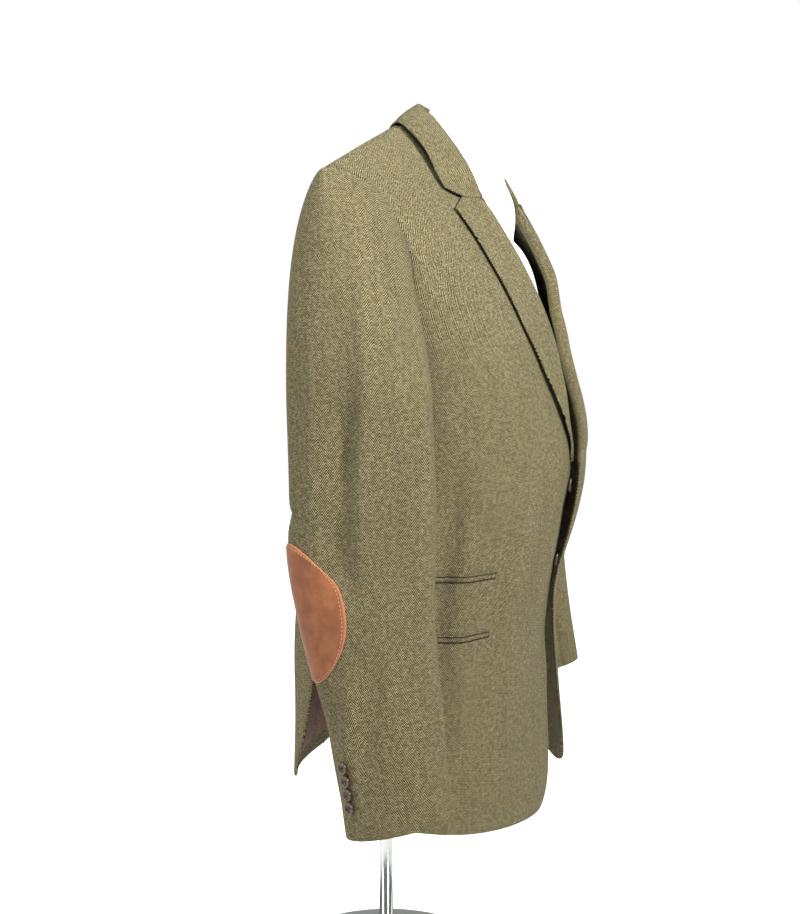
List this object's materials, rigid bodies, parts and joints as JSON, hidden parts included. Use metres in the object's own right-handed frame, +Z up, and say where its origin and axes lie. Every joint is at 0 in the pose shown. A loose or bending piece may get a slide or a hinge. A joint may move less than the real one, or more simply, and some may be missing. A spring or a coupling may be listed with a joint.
{
  "type": "tweed hacking jacket with elbow patches, hanging open on a limbless dress form, its pole and round base",
  "caption": "Olive herringbone tweed hacking jacket with tan elbow patches, hanging open on a white limbless dress form with a chrome pole and round base.",
  "frame": {"origin": "on the underside of the base, on the pole's axis", "axes": "+Z up; the jacket faces -Y; its wearer's right is -X and left is +X"},
  "size_m": [0.646, 0.415, 1.099],
  "materials": {
    "tweed": "olive and straw herringbone wool tweed with a soft nap",
    "tweed_inside": "the same tweed, turned inside",
    "suede": "tan suede, brushed, with a paler edge",
    "satin": "copper brown satin lining",
    "horn": "dark brown, horn effect",
    "form_shell": "white shell of the dress form",
    "chrome": "bright chrome tube and base"
  },
  "bodies": {
    "root": {"back.left": "tweed", "side.left": "tweed", "front.left": "tweed", "lapel.left": "tweed", "top_sleeve.left": "tweed", "under_sleeve.left": "tweed", "hip_pocket_jet.left": "tweed", "facing.left": "tweed_inside", "elbow_patch.left": "suede", "front_lining.left": "satin", "side_lining.left": "satin", "cuff_button_1.left": "horn", "cuff_button_2.left": "horn", "cuff_button_3.left": "horn", "cuff_button_4.left": "horn", "back.right": "tweed", "side.right": "tweed", "front.right": "tweed", "lapel.right": "tweed", "top_sleeve.right": "tweed", "under_sleeve.right": "tweed", "hip_pocket_jet.right": "tweed", "facing.right": "tweed_inside", "elbow_patch.right": "suede", "front_lining.right": "satin", "side_lining.right": "satin", "cuff_button_1.right": "horn", "cuff_button_2.right": "horn", "cuff_button_3.right": "horn", "cuff_button_4.right": "horn", "ticket_pocket_jet.right": "tweed", "hip_pocket_flap.left": "tweed", "back_lining": "satin", "collar_fall": "tweed", "collar_stand": "tweed_inside", "front_button_1": "horn", "front_button_2": "horn", "form": "form_shell", "pole": "chrome", "base": "chrome"}
  },
  "joints": []
}
